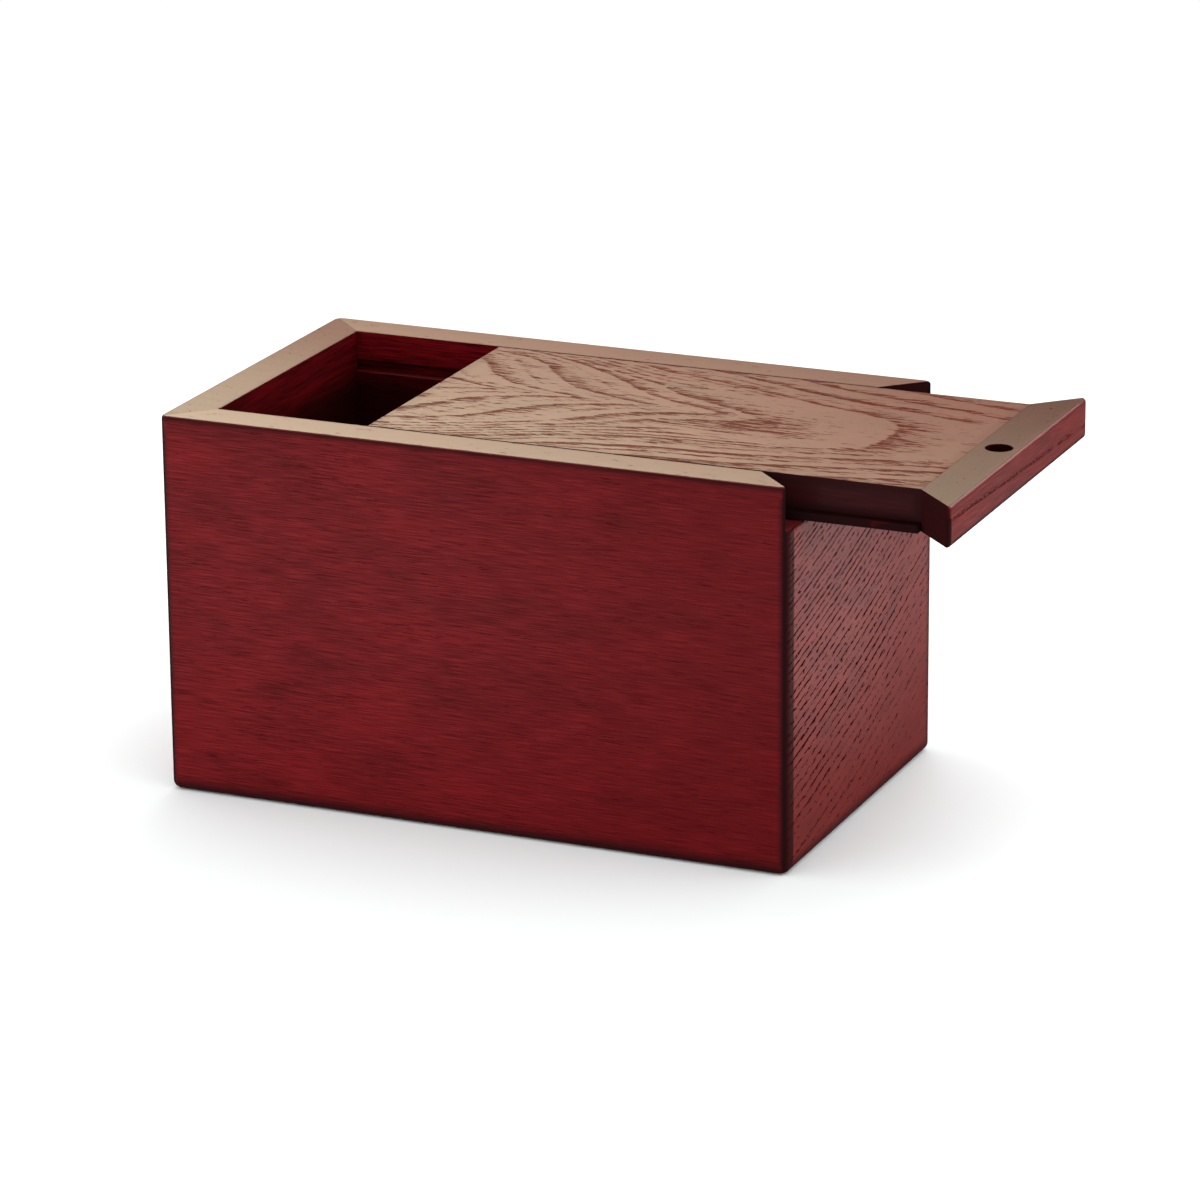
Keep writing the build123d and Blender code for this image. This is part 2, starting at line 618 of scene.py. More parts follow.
@dataclass(frozen=True)
class ArchedFigure(Figure):
    """Nested pointed arches that run along the board, with a plain island near its far end.

    Distances along the board are counted from its left end; each ring is named by the place of its tip.
    """

    pore_size: Size = (7.0, 0.6, 1.0)
    sway: float = 6.0
    tip_sway: float = 0.5
    flutter: float = 3.4
    flutter_size: Size = (9.0, 2.5, 3.0)
    tip_line: float = 3.5
    island_line: float = 0.5
    line_shift: Point = (70.0, 110.0)
    blunt: float = 0.7
    cusp: float = 24.0
    cusp_width: float = 6.0
    lean: float = 0.5
    shoulder: float = 21.0
    shoulder_round: float = 4.0
    near_end: Point = (60.0, 5.0)
    near_shoulder: float = 9.0
    spread: float = 3.6
    island: Point = (60.0, 105.0)
    island_shoulder: float = 14.5
    island_spread: float = 4.4
    island_tilt: float = 0.13
    dip: float = 0.8
    ring_start: float = 1.2
    between_rings: float = 0.1
    inner_rings: Sequence[Ring] = (
        Ring(4.0, 0.62, 7.0),
        Ring(20.0, 0.74, 8.0),
        Ring(31.0, 0.5, 6.0),
        Ring(43.0, 0.78, 9.0),
        Ring(54.0, 0.46, 6.0),
        Ring(64.0, 0.8, 10.0),
        Ring(76.0, 0.45, 5.0),
        Ring(86.0, 0.78, 9.0),
        Ring(97.0, 0.74, 10.0),
        Ring(137.0, 0.74, 17.0),
    )
    outer_rings: Sequence[Ring] = (
        Ring(108.0, 0.66, 7.0),
        Ring(118.0, 0.66, 7.0),
        Ring(128.0, 0.6, 7.0),
        Ring(154.0, 0.55, 8.0),
        Ring(171.0, 0.84, 17.0),
        Ring(206.0, 0.84, 18.0),
        Ring(243.0, 0.8, 18.0),
        Ring(275.0, 0.74, 18.0),
    )
    outer_from: Point = (16.0, 21.0)
    near_rings: Sequence[Ring] = (
        Ring(108.0, 0.86, 6.0),
        Ring(118.0, 0.86, 6.0),
        Ring(128.0, 0.86, 6.0),
        Ring(154.0, 0.8, 7.0),
        Ring(188.0, 0.78, 8.0),
        Ring(224.0, 0.78, 8.0),
        Ring(259.0, 0.76, 8.0),
    )
    near_from: Point = (-16.0, -21.0)
    patch_start: Point = (95.0, 99.0)
    patch_end: Point = (132.0, 104.0)
    patch_side: Point = (18.0, -4.0)
    patch_half: Point = (18.0, 13.0)
    patch_strength: float = 0.74
    streak_size: Size = (13.0, 1.1, 2.0)
    streak_range: Point = (0.36, 0.56)

    def soft_step(self, amount: Signal) -> Signal:
        """Follows the amount where it is above 0 and stays at 0 below, with a rounded turn between."""
        return (amount + (amount * amount + self.shoulder_round**2).root()) / 2

    def rings(self, graph: MaterialGraph, distance: Signal, rings: Sequence[Ring]) -> Signal:
        """How porous one set of rings makes the wood, from 0 to 1."""
        return graph.bands(distance, rings, self.ring_start, self.between_rings)

    def grain(self, graph: MaterialGraph, place: Place, face: BoardFace) -> Grain:
        """Works out where the open pores gather.

        Args:
            graph: The material's nodes.
            place: Where a point lies in its board.
            face: The board.

        Returns:
            The board's grain.
        """
        wander = self.wander(graph, place)
        flutter = (graph.noise(place, self.flutter_size) - NOISE_MEAN) * self.flutter
        along = place.along + face.halves()[0]
        middle = along.ramp(*self.line_shift) * (self.island_line - self.tip_line) + self.tip_line
        off = place.across - middle + wander * self.tip_sway
        wing = (off * off + self.blunt**2).root() - self.blunt
        arch = (1.0 - (wing * (-1.0 / self.cusp_width)).exponential()) * self.cusp + wing * self.lean
        shoulder = along.ramp(*self.near_end) * self.near_shoulder + self.shoulder
        arch = arch + self.soft_step(wing - shoulder) * self.spread
        oval = self.soft_step(wing - self.island_shoulder) * self.island_spread
        oval = oval + place.across * self.island_tilt
        near_island = along.ramp(*self.island)
        distance = along + arch * (1.0 - near_island) + oval * near_island
        distance = distance + wander + flutter + place.through * self.dip
        inner = self.rings(graph, distance, self.inner_rings)
        outer = self.rings(graph, distance, self.outer_rings) * wing.ramp(*self.outer_from)
        near = self.rings(graph, distance, self.near_rings) * off.ramp(*self.near_from)
        patch = distance.ramp(*self.patch_start) * distance.ramp(*self.patch_end)
        patch = patch * off.ramp(*self.patch_side) * wing.ramp(*self.patch_half) * self.patch_strength
        patch = patch * graph.noise(place, self.streak_size).ramp(*self.streak_range)
        return Grain(inner.greatest(outer).greatest(near).greatest(patch), place, self.pore_size)


@dataclass(frozen=True)
class Surface:
    """What a finish finds at a point of a board: its place and grain, and which way it faces."""

    face: BoardFace
    place: Place
    grain: Grain
    fibre: Signal
    pores: Signal
    top: Signal
    cut: Optional[Signal]
    inner: Optional[Signal]


@dataclass
class Coating:
    """Stain, painted shade and lacquer, built up layer by layer."""

    graph: MaterialGraph
    colour: bpy.types.NodeSocket
    sealed: Signal

    def stain(self, amount: Signal, colour: Colour) -> None:
        """Lays a stain or a painted shade over what is there, by an amount from 0 to 1."""
        self.colour = self.graph.tint(amount, self.colour, colour)

    def dull(self, amount: Signal) -> None:
        """Takes a share of the lacquer off, from 0 to 1."""
        self.sealed = self.sealed * (1.0 - amount)


@dataclass(frozen=True)
class StainedWood:
    """Stained open-pored wood under a thin lacquer, with shade painted on its tops, towards an end and its
    foot, and inside; lengths in millimetres.
    """

    name: str
    figure: Figure
    ground: Colour = (0.123, 0.0042, 0.006)
    streak: Colour = (0.074, 0.0027, 0.0042)
    flame: Colour = (0.188, 0.0078, 0.0078)
    pore: Colour = (0.045, 0.0045, 0.005)
    edge: Colour = (0.014, 0.0045, 0.005)
    cut: Colour = (0.014, 0.004, 0.0045)
    inner_streak: Colour = (0.045, 0.0014, 0.0025)
    inner_flame: Colour = (0.17, 0.0042, 0.0075)
    # Near-black colour of painted shade, inside the box and in the pull hole.
    recess_shade: Colour = (0.012, 0.0015, 0.0015)
    # Painted shade: faces that look up are stained towards this darker colour, to offset the stronger light
    # that falls on them.
    top: Colour = (0.1, 0.01, 0.011)
    top_shade_share: float = 0.7
    top_turn: Point = (0.6, 0.95)
    top_smoothness: float = 0.95
    fibre_size: Size = (11.0, 0.3, 0.6)
    fibre_detail: float = 3.0
    band_size: Size = (24.0, 1.4, 3.0)
    mottle_size: Size = (17.0, 5.0, 8.0)
    mottle_detail: float = 1.0
    weights: Size = (0.52, 0.24, 0.24)
    tones: Size = (0.36, 0.5, 0.65)
    pore_tint: float = 0.6
    pore_dulling: float = 0.8
    halo_tint: float = 0.25
    edge_width: float = 3.6
    edge_core: float = 0.7
    edge_stretch: float = 1.0
    edge_strength: float = 0.85
    edge_dulling: float = 0.7
    top_edge_wear: float = 0.85
    upper_narrowing: float = 2.2
    upper_room: float = 4.0
    banded_end: Optional[Point] = None
    cut_turn: Point = (0.35, 0.62)
    cut_tint: float = 0.92
    cut_dulling: float = 0.6
    inner_turn: Point = (0.8, 0.95)
    inner_weights: Point = (0.6, 0.4)
    # The painted shade inside the box deepens with depth and has a least amount over the whole inner face.
    inner_depth: Point = (4.0, 17.0)
    inner_shade: float = 0.0
    recess_shade_strength: float = 0.92
    inner_gloss: float = 0.35
    # Painted shade on the wall of the pull hole.
    bore_rim: Point = (0.4, 0.1)
    bore_shade: float = 0.9
    gloss: float = 1.0
    side_gloss: float = 0.85
    glint: float = 2.0
    # Towards one end and towards the foot, shade is painted into the colour where the light falls off, and the
    # lacquer is dulled.
    worn_end: Optional[Point] = None
    end_dulling: float = 0.0
    end_painted_shade: float = 0.0
    top_shelter: float = 0.0
    dimmed_foot: Optional[Point] = None
    foot_dulling: float = 0.0
    foot_painted_shade: float = 0.0
    lacquer_roughness: float = 0.3
    lacquer_density: float = 1.22
    wood_roughness: float = 0.5
    pore_roughness: float = 0.25
    fibre_roughness: float = 0.1
    fibre_relief: float = 0.012
    pore_relief: float = 0.05

    def survey(self, graph: MaterialGraph, face: BoardFace) -> Surface:
        """Works out the board's grain, its pores and which way its surface faces.

        Args:
            graph: The material's nodes.
            face: The board.

        Returns:
            The surface.
        """
        place = graph.place(face)
        grain = self.figure.grain(graph, place, face)
        top = graph.facing(UP).ramp(*self.top_turn)
        solid = top * self.top_smoothness
        cut = None
        if face.cut_axis is not None:
            cut = abs(graph.facing(face.cut_axis)).ramp(*self.cut_turn)
            solid = solid.greatest(cut)
        inner = None
        if face.inner_axis is not None:
            inner = graph.facing(face.inner_axis).ramp(*self.inner_turn)
            solid = solid.greatest(inner)
        pores = graph.pores(grain, grain.share * (1.0 - solid))
        fibre = graph.noise(grain.follow, self.fibre_size, self.fibre_detail)
        return Surface(face, place, grain, fibre, pores, top, cut, inner)

    def first_coat(self, graph: MaterialGraph, surface: Surface) -> Coating:
        """The stain's own play of tones and a lacquer that glints along the fibres.

        Args:
            graph: The material's nodes.
            surface: The board's surface.

        Returns:
            The first layer.
        """
        fibre_weight, band_weight, mottle_weight = self.weights
        band = graph.noise(surface.grain.follow, self.band_size)
        mottle = graph.noise(surface.place, self.mottle_size, self.mottle_detail)
        tone = surface.fibre * fibre_weight + band * band_weight + mottle * mottle_weight
        colour = graph.spread(tone, list(zip(self.tones, (self.streak, self.ground, self.flame))))
        sealed = surface.top * (1.0 - self.side_gloss) + self.side_gloss
        glint = (surface.fibre - NOISE_MEAN) * (1.0 - surface.top) * self.glint
        return Coating(graph, colour, sealed * (glint + 1.0))

    def shade_and_dull(self, coating: Coating, surface: Surface) -> None:
        """Paints shade into the colour towards one end and the foot of the board, and dulls its lacquer there.

        Args:
            coating: The layers so far.
            surface: The board's surface.
        """
        if self.worn_end is not None:
            end = surface.place.along.ramp(*self.worn_end)
            # Painted shade: darker towards this end, where the light falls off.
            coating.stain(end * self.end_painted_shade, self.streak)
            coating.dull(end * (1.0 - surface.top * self.top_shelter) * self.end_dulling)
        if self.dimmed_foot is not None:
            foot = surface.place.across.ramp(*self.dimmed_foot)
            # Painted shade: darker towards the foot, where less light reaches near the floor.
            coating.stain(foot * self.foot_painted_shade, self.streak)
            coating.dull(foot * self.foot_dulling)

    def darken_edges(self, coating: Coating, surface: Surface) -> None:
        """Stains the board darker along its edges, in a narrower band along its upper one.

        Args:
            coating: The layers so far.
            surface: The board's surface.
        """
        place = surface.place
        half_across = surface.face.halves()[1]
        upper = place.across.ramp(half_across - self.upper_room, half_across)
        distance = coating.graph.edge_distance(place, surface.face, self.edge_stretch)
        distance = distance * (upper * (self.upper_narrowing - 1.0) + 1.0)
        near = distance.ramp(self.edge_width, self.edge_core)
        if self.banded_end is not None:
            near = near.greatest(place.along.ramp(*self.banded_end))
        near = near * (1.0 - surface.top * self.top_edge_wear)
        coating.stain(near * self.edge_strength, self.edge)
        coating.dull(near * self.edge_dulling)

    def stain_and_shade_inside(self, coating: Coating, surface: Surface) -> None:
        """Streaks the face that looks into the box, with painted shade that deepens with depth.

        Args:
            coating: The layers so far.
            surface: The board's surface.
        """
        graph = coating.graph
        place = surface.place
        fibre_weight, band_weight = self.inner_weights
        level = graph.noise(place, self.fibre_size) * fibre_weight
        level = level + graph.noise(place, self.band_size) * band_weight
        depth = (surface.face.halves()[1] - place.across).ramp(*self.inner_depth)
        coating.stain(surface.inner, self.inner_streak)
        coating.stain(surface.inner * level.ramp(self.tones[0], self.tones[-1]), self.inner_flame)
        # Painted shade: darker deeper down inside the box.
        coating.stain(depth.greatest(self.inner_shade) * surface.inner * self.recess_shade_strength, self.recess_shade)
        coating.dull(surface.inner * (1.0 - self.inner_gloss))

    def shade_bore(self, coating: Coating, surface: Surface) -> None:
        """Paints shade on the wall of a hole through the board's middle, and takes the lacquer off there.

        Args:
            coating: The layers so far.
            surface: The board's surface.
        """
        place = surface.place
        from_axis = (place.along * place.along + place.through * place.through).root()
        bore = from_axis.ramp(*[surface.face.bore_radius + room for room in self.bore_rim])
        # Painted shade in the pull hole.
        coating.stain(bore * self.bore_shade, self.recess_shade)
        coating.dull(bore)

    def dress(self, piece: bpy.types.Object, face: BoardFace) -> None:
        """Makes the finish for one board and puts it on.

        Args:
            piece: The board.
            face: How the board lies and how large it is.
        """
        graph = MaterialGraph(f"{piece.name}_{self.name}")
        surface = self.survey(graph, face)
        coating = self.first_coat(graph, surface)
        self.shade_and_dull(coating, surface)
        # Painted shade: faces that look up are stained darker, to offset the stronger light on them.
        coating.stain(surface.top * self.top_shade_share, self.top)
        coating.stain(surface.grain.share * self.halo_tint, self.pore)
        self.darken_edges(coating, surface)
        coating.stain(surface.pores * self.pore_tint, self.pore)
        coating.dull(surface.pores * self.pore_dulling)
        if surface.cut is not None:
            coating.stain(surface.cut * self.cut_tint, self.cut)
            coating.dull(surface.cut * self.cut_dulling)
        if surface.inner is not None:
            self.stain_and_shade_inside(coating, surface)
        if face.bore_radius:
            self.shade_bore(coating, surface)
        self.set_shader(coating, surface)
        graph.cover(piece)

    def set_shader(self, coating: Coating, surface: Surface) -> None:
        """Joins stain, lacquer and relief into the shader.

        Args:
            coating: The finished layers.
            surface: The board's surface.
        """
        graph = coating.graph
        links = graph.tree.links
        shader = graph.shader()
        roughness = surface.pores * self.pore_roughness + surface.fibre * self.fibre_roughness
        normal = graph.bump(surface.fibre * self.fibre_relief - surface.pores * self.pore_relief)
        links.new(coating.colour, shader.inputs["Base Color"])
        links.new((roughness + self.wood_roughness).socket, shader.inputs["Roughness"])
        links.new((coating.sealed * self.gloss).socket, shader.inputs["Coat Weight"])
        links.new(normal, shader.inputs["Normal"])
        links.new(normal, shader.inputs["Coat Normal"])
        shader.inputs["Specular IOR Level"].default_value = 0.0
        shader.inputs["Coat Roughness"].default_value = self.lacquer_roughness
        shader.inputs["Coat IOR"].default_value = self.lacquer_density


@dataclass(frozen=True)
class BareWood:
    """Plain unstained wood, for the pieces that no one sees."""

    name: str = "bare_wood"
    pale: Colour = (0.62, 0.44, 0.26)
    dark: Colour = (0.44, 0.28, 0.15)
    tones: Point = (0.35, 0.65)
    fibre_size: Size = (18.0, 0.6, 0.6)
    fibre_detail: float = 3.0
    fibre_relief: float = 0.02
    wood_roughness: float = 0.6
    fibre_roughness: float = 0.2

    def dress(self, piece: bpy.types.Object, lie: Lie) -> None:
        """Makes the finish for one hidden piece and puts it on.

        Args:
            piece: The piece.
            lie: How its grain runs.
        """
        graph = MaterialGraph(f"{piece.name}_{self.name}")
        origin = Vector((0, 0, 0))
        place = graph.place(BoardFace(lie, origin, origin))
        fibre = graph.noise(place, self.fibre_size, self.fibre_detail)
        colour = graph.spread(fibre, list(zip(self.tones, (self.dark, self.pale))))
        roughness = fibre * self.fibre_roughness + self.wood_roughness
        links = graph.tree.links
        shader = graph.shader()
        links.new(colour, shader.inputs["Base Color"])
        links.new(roughness.socket, shader.inputs["Roughness"])
        links.new(graph.bump(fibre * self.fibre_relief), shader.inputs["Normal"])
        graph.cover(piece)


LONG_WALL_FINISH = StainedWood(
    "straight_grain",
    StraightFigure(),
    flame=(0.186, 0.0064, 0.009),
    fibre_size=(9.0, 0.3, 0.6),
    weights=(0.64, 0.12, 0.24),
    mottle_size=(26.0, 8.0, 10.0),
    edge_width=5.0,
    edge_stretch=0.5,
    upper_narrowing=3.0,
    gloss=0.94,
    side_gloss=0.9,
    worn_end=(-20.0, 80.0),
    end_dulling=0.3,
    end_painted_shade=0.4,
    top_shelter=1.0,
    dimmed_foot=(25.0, -50.0),
    foot_dulling=0.35,
)
END_WALL_FINISH = StainedWood(
    "open_pored",
    SlantedFigure(),
    ground=(0.2, 0.013, 0.0082),
    streak=(0.107, 0.0055, 0.005),
    flame=(0.256, 0.019, 0.0105),
    top_shade_share=1.0,
    pore=(0.03, 0.004, 0.004),
    pore_tint=0.95,
    pore_dulling=1.0,
    banded_end=(-48.8, -50.2),
    inner_shade=0.35,
    edge_width=5.0,
    upper_narrowing=3.0,
    gloss=0.79,
    side_gloss=0.97,
    glint=0.6,
    worn_end=(-20.0, 45.0),
    end_dulling=0.24,
    end_painted_shade=0.34,
    dimmed_foot=(15.0, -40.0),
    foot_dulling=0.54,
    foot_painted_shade=0.6,
)
# Painted shade: the bottom panel is stained near-black to stand for the shade deep inside the box.
BOTTOM_FINISH = StainedWood(
    "dark_stain_and_shade",
    FleckedFigure(),
    ground=(0.03, 0.003, 0.004),
    streak=(0.02, 0.002, 0.003),
    flame=(0.04, 0.004, 0.005),
    top=(0.02, 0.002, 0.002),
    gloss=0.3,
)
LID_FINISH = StainedWood(
    "arched_grain",
    ArchedFigure(),
    pore=(0.075, 0.006, 0.0012),
    cut=(0.021, 0.0055, 0.006),
    top_smoothness=0.0,
    top_shade_share=0.5,
    pore_tint=0.85,
    pore_dulling=0.78,
    halo_tint=0.07,
    worn_end=(-20.0, 60.0),
    end_dulling=0.18,
)
# Partly painted shade: the runner board is near-black for its own dark stain and for the shade it lies in under
# the lid.
RUNNER_FINISH = StainedWood(
    "dark_stain_and_shade",
    FleckedFigure(),
    ground=(0.008, 0.002, 0.002),
    streak=(0.006, 0.0015, 0.0015),
    flame=(0.011, 0.0025, 0.0025),
    top=(0.011, 0.0025, 0.0025),
    gloss=0.03,
)
CAP_FINISH = StainedWood(
    "plain_grain",
    FleckedFigure(
        pore_size=(1.2, 0.5, 1.0),
        sway=2.0,
        row_spacing=7.0,
        first_row=0.6,
        row_share=0.34,
        porosity=0.76,
        cloud_range=(0.3, 0.46),
    ),
    ground=(0.122, 0.009, 0.007),
    streak=(0.078, 0.0055, 0.005),
    flame=(0.19, 0.013, 0.0095),
    top=(0.04, 0.007, 0.007),
    top_shade_share=0.72,
    edge_width=2.0,
    edge_stretch=0.9,
    upper_narrowing=9.0,
    gloss=0.67,
    side_gloss=0.48,
    glint=1.0,
    worn_end=(-20.0, 50.0),
    end_dulling=0.2,
)


def arc(middle: Point, radius: float, start: float, end: float, steps: int) -> list[Point]:
    """Points along an arc of a profile.

    Args:
        middle: Middle of the arc.
        radius: Its radius.
        start: Angle of the first point, in degrees.
        end: Angle of the last point, in degrees.
        steps: Number of straight steps.

    Returns:
        The points, both ends included.
    """
    points = []
    for step in range(steps + 1):
        angle = math.radians(start + (end - start) * step / steps)
        points.append((middle[0] + radius * math.cos(angle), middle[1] + radius * math.sin(angle)))
    return points


def inset(profile: Sequence[Point], amount: float) -> list[Point]:
    """Moves each point of a clockwise profile inwards.

    Args:
        profile: The points, in order round the wood.
        amount: How far they move.

    Returns:
        The moved points.
    """
    moved = []
    count = len(profile)
    for place in range(count):
        before = Vector(profile[place - 1])
        here = Vector(profile[place])
        after = Vector(profile[(place + 1) % count])
        way = ((here - before).normalized() + (after - here).normalized()).normalized()
        moved.append((here.x + way.y * amount, here.y - way.x * amount))
    return moved


def make_piece(name: str, mesh: bmesh.types.BMesh) -> bpy.types.Object:
    """Turns finished mesh data into an object of the scene.

    Args:
        name: Name of the piece.
        mesh: Its faces.

    Returns:
        The object.
    """
    bmesh.ops.remove_doubles(mesh, verts=mesh.verts, dist=WELD)
    bmesh.ops.recalc_face_normals(mesh, faces=mesh.faces)
    data = bpy.data.meshes.new(name)
    mesh.to_mesh(data)
    mesh.free()
    piece = bpy.data.objects.new(name, data)
    bpy.context.scene.collection.objects.link(piece)
    return piece


def cut_away(piece: bpy.types.Object, cutter: bpy.types.Object) -> None:
    """Cuts one mesh out of another and drops the cutter.

    Args:
        piece: The mesh that stays.
        cutter: The mesh that is taken out of it.
    """
    modifier = piece.modifiers.new("cut", "BOOLEAN")
    modifier.operation = "DIFFERENCE"
    modifier.solver = "EXACT"
    modifier.object = cutter
    graph = bpy.context.evaluated_depsgraph_get()
    before = piece.data
    after = bpy.data.meshes.new_from_object(piece.evaluated_get(graph))
    piece.modifiers.clear()
    piece.data = after
    bpy.data.meshes.remove(before)
    after.name = piece.name
    bpy.data.objects.remove(cutter)


def shade(piece: bpy.types.Object) -> None:
    """Shades rounded edges smoothly and keeps flat faces flat.

    Args:
        piece: The piece.
    """
    piece.data.shade_smooth()
    piece.data.set_sharp_from_angle(angle=SHARP_ANGLE)
    modifier = piece.modifiers.new("flat faces", "WEIGHTED_NORMAL")
    modifier.keep_sharp = True


def block(name: str, place: Matrix, size: Vector) -> bpy.types.Object:
    """A square block for cutting slots.

    Args:
        name: Name of the block.
        place: Where its middle lies and how it is turned.
        size: Its length, width and height.

    Returns:
        The block.
    """
    mesh = bmesh.new()
    bmesh.ops.create_cube(mesh, size=1.0, matrix=place @ Matrix.Diagonal((*size, 1.0)))
    return make_piece(name, mesh)


def turned(name: str, profile: Sequence[Point], place: Matrix, steps: int) -> bpy.types.Object:
    """A round plug turned about an axis, for drilling holes.

    Args:
        name: Name of the plug.
        profile: Radius and height of its outline, from one end to the other.
        place: Where its axis lies; the axis is the third column.
        steps: Number of flats round it.

    Returns:
        The plug.
    """
    mesh = bmesh.new()
    rows = []
    for radius, height in profile:
        row = []
        for step in range(steps):
            angle = math.tau * step / steps
            spot = Vector((radius * math.cos(angle), radius * math.sin(angle), height))
            row.append(mesh.verts.new(place @ spot))
        rows.append(row)
    for lower, upper in zip(rows, rows[1:]):
        for step in range(steps):
            following = (step + 1) % steps
            mesh.faces.new((lower[step], lower[following], upper[following], upper[step]))
    mesh.faces.new(rows[0])
    mesh.faces.new(rows[-1])
    return make_piece(name, mesh)


@dataclass
class Piece:
    """One piece of the box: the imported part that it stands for, what it moves with and how it is finished."""

    name: str
    body: str
    slot: str
    finish: StainedWood
    lie: Lie
    low: Vector = field(init=False)
    high: Vector = field(init=False)
    middle: Vector = field(init=False)
    half: Vector = field(init=False)

    def __post_init__(self) -> None:
        """Takes the piece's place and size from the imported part."""
        self.low, self.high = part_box(self.name)
        self.middle = (self.low + self.high) / 2
        self.half = (self.high - self.low) / 2

    def face(self) -> BoardFace:
        """What the finish needs to know of this piece."""
        return BoardFace(self.lie, self.middle * PER_METRE, self.half * PER_METRE)

    def mesh(self) -> bpy.types.Object:
        """Builds the piece's mesh."""
        raise NotImplementedError

    def build(self) -> None:
        """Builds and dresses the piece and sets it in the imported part's place."""
        piece = self.mesh()
        shade(piece)
        self.finish.dress(piece, self.face())
        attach(piece, self.body)
        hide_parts(self.name)
        LOG.info("%s: %d faces", piece.name, len(piece.data.polygons))


@dataclass
class Joinery:
    """Sizes of the joints that the boards share."""

    wall: float = 12.0 * MM
    seam: float = 0.02 * MM
    arris: float = 0.15 * MM
    groove_depth: float = 2.5 * MM
    groove_height: float = 3.4 * MM
    rebate: float = 6.0 * MM
    spline_width: float = 7.0 * MM
    spline_thickness: float = 3.0 * MM
    glue_gap: float = 0.1 * MM
    dowel_flats: int = 32

    def drill_dowels(self, piece: bpy.types.Object, dowels: str) -> None:
        """Drills the holes for the lid's dowels.

        Args:
            piece: The piece to drill.
            dowels: Name of the dowels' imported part.
        """
        low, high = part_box(dowels)
        gap = self.glue_gap
        radius = (high.z - low.z) / 2
        length = high.x - low.x + 2 * gap
        lying = Matrix.Rotation(QUARTER_TURN, 4, "Y")
        outline = [(radius + gap, 0.0), (radius + gap, length)]
        for offset in (low.y + radius, high.y - radius):
            place = Matrix.Translation((low.x - gap, offset, low.z + radius)) @ lying
            cut_away(piece, turned("dowel_hole", outline, place, self.dowel_flats))


